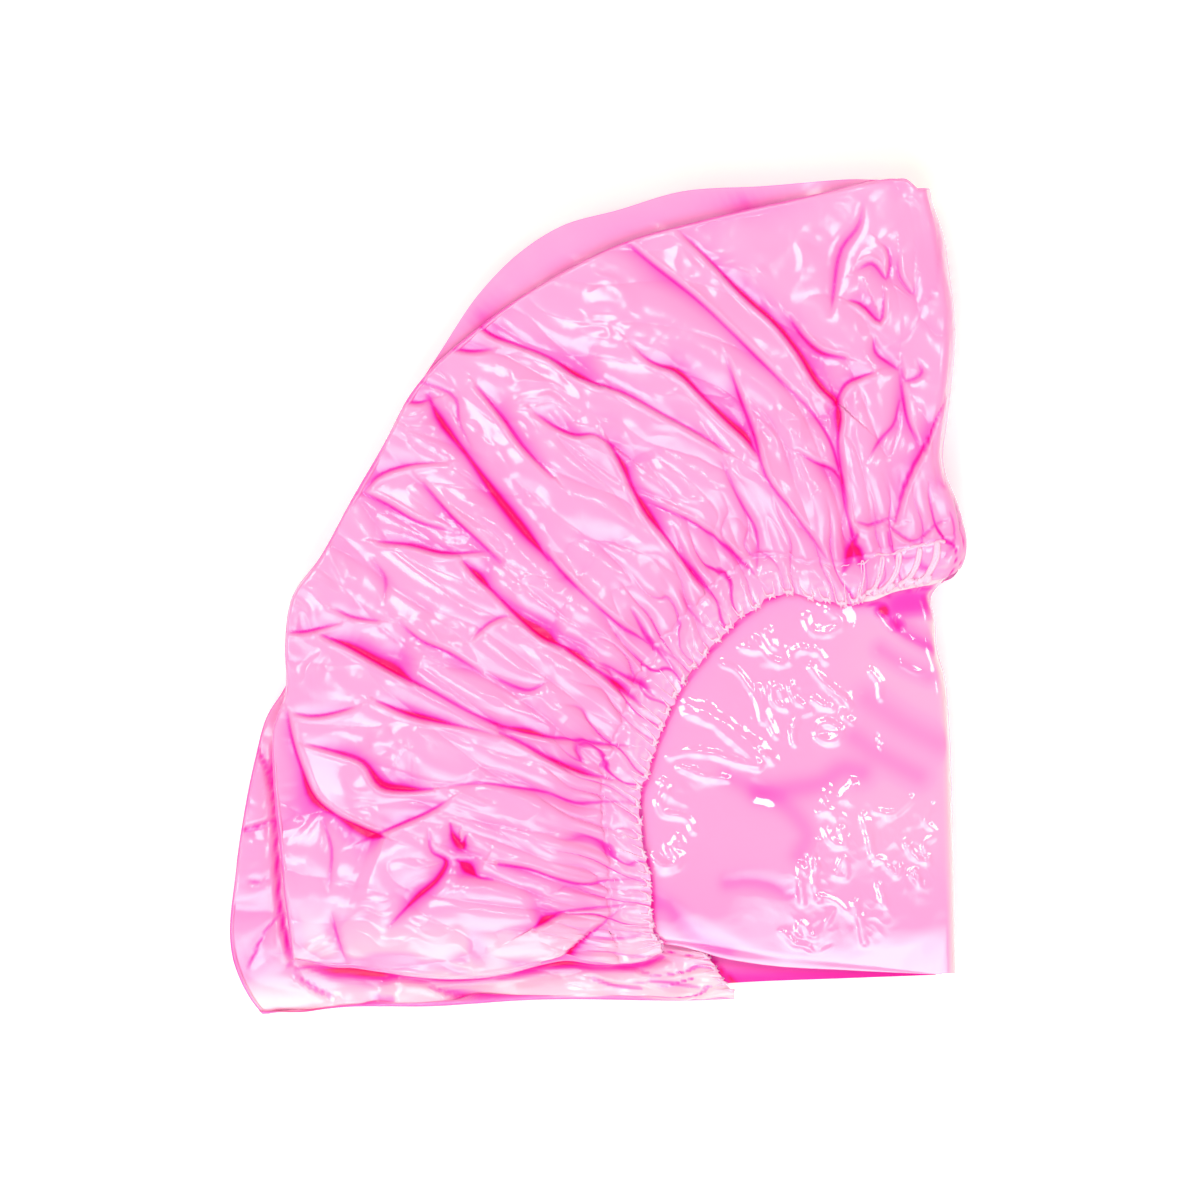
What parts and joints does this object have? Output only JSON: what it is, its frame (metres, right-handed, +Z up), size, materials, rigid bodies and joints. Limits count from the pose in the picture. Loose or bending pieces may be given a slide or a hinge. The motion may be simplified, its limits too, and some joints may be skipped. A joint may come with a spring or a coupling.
{
  "type": "shower cap",
  "caption": "Soft film shower cap with a gathered elastic brim, folded twice into a flat quarter that opens about its side fold.",
  "frame": {"origin": "middle of the underside of the folded cap's bounding box", "axes": "+Z up, away from the surface the folded cap lies on; +Y from the front fold towards the brim; +X towards the side fold, about which the cap opens"},
  "size_m": [0.1282, 0.1478, 0.0206],
  "materials": {
    "film": "glossy vinyl film",
    "elastic": "knitted",
    "thread": "twisted thread"
  },
  "bodies": {
    "lower_half": {"crown_film_bottom": "film", "brim_film_bottom": "film", "elastic_band_bottom": "elastic", "needle_thread_bottom": "thread", "looper_thread_bottom": "thread", "crown_film_lower_inner": "film", "brim_film_lower_inner": "film", "elastic_band_lower_inner": "elastic", "needle_thread_lower_inner": "thread", "looper_thread_lower_inner": "thread"},
    "upper_half": {"crown_film_top": "film", "brim_film_top": "film", "elastic_band_top": "elastic", "needle_thread_top": "thread", "looper_thread_top": "thread", "crown_film_upper_inner": "film", "brim_film_upper_inner": "film", "elastic_band_upper_inner": "elastic", "needle_thread_upper_inner": "thread", "looper_thread_upper_inner": "thread"}
  },
  "joints": [
    {"name": "side_fold", "type": "hinge", "parent": "lower_half", "child": "upper_half", "pos_m": [0.06427, 0, 0.0108], "axis": [0, 1, 0], "range_deg": [0, 180]}
  ]
}
